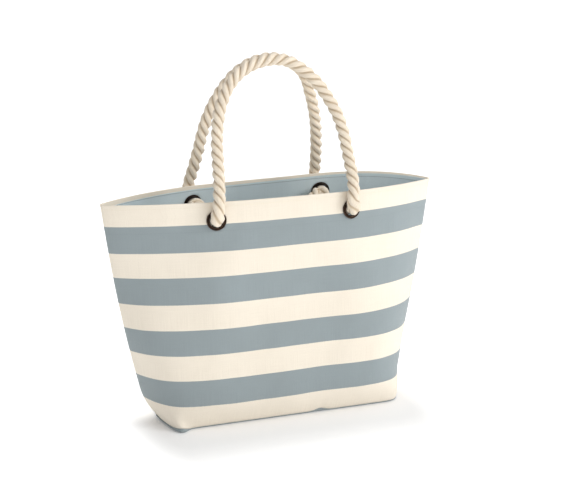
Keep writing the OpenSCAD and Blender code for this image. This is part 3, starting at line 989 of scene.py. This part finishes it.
def handle(which, route, back):
    names = [which + "_left", which + "_right"]
    joint = next(
        j
        for j in frame["record"]["behaviour"]["joints"]
        if j["child"] == which + "_handle"
    )
    axis, middle = np.array(joint["axis"]), np.array(joint["pos_m"]) / MM
    left_end = knot_points(True, back, *KNOTS[names[0]])[::-1]
    right_end = knot_points(False, back, *KNOTS[names[1]])
    points = (
        left_end
        + throat_to_route(True, back, route[0])
        + [np.array(p, float) for p in route]
        + throat_to_route(False, back, route[-1])[::-1]
        + right_end
    )
    line = curve_through(points, ROPE_STEP)
    run = run_along(line)
    tangent, side, other = carried_frames(line)
    cuts = []
    for left in (True, False):
        centre, n, _, _ = eyelet_frame(left, back)
        depth = (centre - line) @ n
        near = np.linalg.norm(line - centre, axis=1) < 25
        score = np.where(near, np.abs(depth - CUT_DEPTH), 1e9)
        cuts.append(int(np.argmin(score)))
    fold = []
    for left in (True, False):
        pivot = middle + axis * (eyelet_x(left, back) - middle[0]) / axis[0]
        fold.append(1 - smooth((np.linalg.norm(line - pivot, axis=1) - 6) / 14))
    fold = np.maximum(*fold)
    inside = (np.arange(len(line)) < cuts[0]) | (np.arange(len(line)) > cuts[1])
    knotted = smooth(np.convolve(inside.astype(float), np.ones(15) / 15, "same"))
    out_by = np.minimum(run - run[cuts[0]], run[cuts[1]] - run)
    flare = bell(out_by, 19, 7.5)
    bulge = bell(out_by, -13, 7.0)
    scale = 1 - 0.05 * knotted + 0.14 * flare + 0.20 * bulge
    fray = np.minimum(run, run[-1] - run)
    scale = scale + 0.06 * (1 - smooth(fray / 3.0))

    def part(name, a, b):
        chosen = slice(a, b + 1)
        frames = tangent[chosen], side[chosen], other[chosen]
        return rope_mesh(
            name, line[chosen], run[chosen], frames, scale[chosen], 0.6 * fold[chosen]
        )

    arch = part(which + "_handle", cuts[0], cuts[1])
    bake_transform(arch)
    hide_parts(which + "_handle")
    ends = [
        part("rope_end_" + names[0], 0, cuts[0]),
        part("rope_end_" + names[1], cuts[1], len(line) - 1),
    ]
    for end, name in zip(ends, names):
        stand_in(end, "rope_end_" + name)
    between = round(run[cuts[1]] - run[cuts[0]])
    print(which, "rope: between eyelets", between, "mm, whole", round(run[-1]), "mm")
    wind(names[0], line[:TAIL_POINTS], run[:TAIL_POINTS])
    wind(names[1], line[-TAIL_POINTS:][::-1], (run[-1] - run[-TAIL_POINTS:])[::-1])


def tube(path, radius, sides=6):
    """Points and faces of a closed tube along a path."""
    _, side, other = carried_frames(path)
    n = len(path)
    angle = (TAU * np.arange(sides) / sides)[None, :, None]
    ring = np.cos(angle) * side[:, None] + np.sin(angle) * other[:, None]
    points = path[:, None] + ring * np.broadcast_to(radius, n)[:, None, None]
    ids, _, quads = ring_quads(n, sides)
    faces = [tuple(q) for q in quads] + [tuple(ids[0][::-1]), tuple(ids[-1])]
    return points.reshape(-1, 3), faces


TAIL_POINTS = 14


def wind(name, part, far):
    """Twine wound round a rope's tail, its ends tucked under; far is the way from the cut."""
    start, stop, turns, thick = 3.2, 13.2, 8, 0.62
    t = np.linspace(0, 1, turns * 26)
    s = start + (stop - start) * t
    centre = sample(s, far, part)
    direction = unit(part[-1] - part[0])
    u = unit(np.cross(direction, [0.2, 1, 0.1]))
    w = np.cross(direction, u)
    angle = TAU * turns * t
    tucked = smooth((t - 0.97) / 0.03) + smooth((0.03 - t) / 0.03)
    radius = ROPE_R * 0.93 + 0.25 - 1.4 * tucked
    spoke = np.cos(angle)[:, None] * u + np.sin(angle)[:, None] * w
    path = centre + radius[:, None] * spoke
    points, faces = tube(path, thick, 8)
    obj = make("whipping_" + name, points, faces, twine)
    face_outward(obj)
    stand_in(obj, "whipping_" + name)


handle("front", FRONT_ROUTE, False)
handle("back", BACK_ROUTE, True)

# ---------------------------------------------------------------- stitching


STITCH_PITCH, STITCH_L, THREAD_R = 3.3, 2.7, 0.34
STITCH_BOW = np.array([-0.28, 0.10, 0.22, 0.22, 0.10, -0.28])
EYELET_CLEAR = 17


def stitches(name, v, depth, back, material, reach=0.985):
    """A row of lockstitches along the wall: short threads that dive into the cloth."""
    dense = np.linspace(-reach, reach, 1600)
    line = wall(dense, np.full_like(dense, v), depth, 0, back)
    normal = outward(dense, np.full_like(dense, v), back) * (1 if depth < 1 else -1)
    run = run_along(line)
    centres = [eyelet_frame(left, back)[0] for left in (True, False)]
    points, faces, total = [], [], 0
    for i in range(int(run[-1] / STITCH_PITCH)):
        s = (i + 0.5) * STITCH_PITCH + np.linspace(-STITCH_L / 2, STITCH_L / 2, 6)
        path = sample(s, run, line)
        if min(np.linalg.norm(path[3] - centre) for centre in centres) < EYELET_CLEAR:
            continue
        raised = path + sample(s, run, normal) * STITCH_BOW[:, None]
        p, f = tube(raised, THREAD_R * np.array([0.6, 1, 1, 1, 1, 0.6]))
        points.append(p)
        faces += [tuple(k + total for k in face) for face in f]
        total += len(p)
    obj = make(name, np.concatenate(points), faces, material)
    face_outward(obj)
    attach(obj, "bag")
    return obj


SIDES = (("front", False), ("back", True))
rim_v, hem_v = 1 - RIM_STITCH / WALL_H, 1 - HEM_STITCH / WALL_H
inner_d = lining_depth(rim_v) + LINING_T
panel_rows, lining_rows = {}, {}
for side, back in SIDES:
    panel_rows[back] = [
        stitches(side + "_rim_stitching", rim_v, 0, back, cream_thread),
        stitches(side + "_hem_stitching", hem_v, 0, back, blue_thread),
    ]
for side, back in SIDES:
    lining_rows[back] = stitches(
        side + "_lining_stitching", rim_v, inner_d, back, blue_thread, 0.965
    )

# ---------------------------------------------------------------- studio

floor_material = Nodes("floor")
floor_material.shader.inputs["Base Color"].default_value = (0.90, 0.90, 0.90, 1)
floor_material.shader.inputs["Emission Color"].default_value = (1, 1, 1, 1)
floor_place = floor_material.place()


def past_edge(scale, edge):
    """How far the floor lies past two edges of a rectangle, scaled in x and y."""
    grown = floor_material.vector("MULTIPLY", floor_place, scale)
    past = floor_material.vector("SUBTRACT", grown, edge)
    return floor_material.vector("MAXIMUM", past)


# The floor glows away from the bag, so only the contact shadow stays.
floor_far = floor_material.vector(
    "LENGTH",
    floor_material.vector(
        "ADD",
        past_edge((1.0, -0.4, 0.0), (0.17, 0.028, 0.0)),
        past_edge((-1.0, 1.5, 0.0), (0.17, -0.045, 0.0)),
    ),
    output="Value",
)
floor_glow = floor_material.add("ShaderNodeMapRange", interpolation_type="SMOOTHSTEP")
floor_material.set(floor_glow.inputs["Value"], floor_far)
glow_range = (("From Min", 0.02), ("From Max", 0.09), ("To Min", 0.07), ("To Max", 0.6))
for socket, value in glow_range:
    floor_glow.inputs[socket].default_value = value
glow = floor_material.shader.inputs["Emission Strength"]
floor_material.set(glow, floor_glow.outputs["Result"])
floor_material.shader.inputs["Roughness"].default_value = 0.9
floor_material.shader.inputs["Specular IOR Level"].default_value = 0.1
floor_mesh = bpy.data.meshes.new("floor")
floor_mesh.from_pydata(
    [(-9, -6, 0), (9, -6, 0), (9, 12, 0), (-9, 12, 0)], [], [(0, 1, 2, 3)]
)
floor_mesh.materials.append(floor_material.material)
floor = link(bpy.data.objects.new("floor", floor_mesh))

world = bpy.data.worlds.new("studio")
bpy.context.scene.world = world
world.use_nodes = True
tree = world.node_tree
tree.nodes.clear()
seen = tree.nodes.new("ShaderNodeBackground")
seen.inputs["Color"].default_value = (1, 1, 1, 1)
seen.inputs["Strength"].default_value = 1.05
ambient = tree.nodes.new("ShaderNodeBackground")
ambient.inputs["Color"].default_value = (1.0, 1.0, 1.0, 1)
heading = tree.nodes.new("ShaderNodeTexCoord")
towards_light = tree.nodes.new("ShaderNodeVectorMath")
towards_light.operation = "DOT_PRODUCT"
towards_light.inputs[1].default_value = (0.75, -0.25, 0.61)
sky = tree.nodes.new("ShaderNodeMapRange")
for socket, value in (("From Min", -1), ("From Max", 1), ("To Min", 0.0), ("To Max", 0.98)):
    sky.inputs[socket].default_value = value
tree.links.new(heading.outputs["Generated"], towards_light.inputs[0])
tree.links.new(towards_light.outputs["Value"], sky.inputs["Value"])
tree.links.new(sky.outputs["Result"], ambient.inputs["Strength"])
rays = tree.nodes.new("ShaderNodeLightPath")
choose = tree.nodes.new("ShaderNodeMixShader")
world_out = tree.nodes.new("ShaderNodeOutputWorld")
tree.links.new(rays.outputs["Is Camera Ray"], choose.inputs[0])
tree.links.new(ambient.outputs[0], choose.inputs[1])
tree.links.new(seen.outputs[0], choose.inputs[2])
tree.links.new(choose.outputs[0], world_out.inputs[0])


def softbox(name, position, aim, size, power, colour=(1, 1, 1)):
    data = bpy.data.lights.new(name, "AREA")
    data.shape = "RECTANGLE"
    data.size, data.size_y = size
    data.energy = power
    data.color = colour
    lamp = link(bpy.data.objects.new(name, data))
    lamp.location = position
    direction = Vector(aim) - Vector(position)
    lamp.rotation_euler = direction.to_track_quat("-Z", "Y").to_euler()


softbox("key", (2.2, -2.5, 1.9), (0, 0, 0.22), (1.6, 1.6), 41, (1.0, 0.992, 0.98))
softbox("top", (0.0, 0.0, 2.4), (0, 0.0, 0.3), (1.8, 1.2), 4)

view = bpy.context.scene.view_settings
view.view_transform = "Standard"
view.look = "None"
view.exposure = 0.0
view.gamma = 1.0
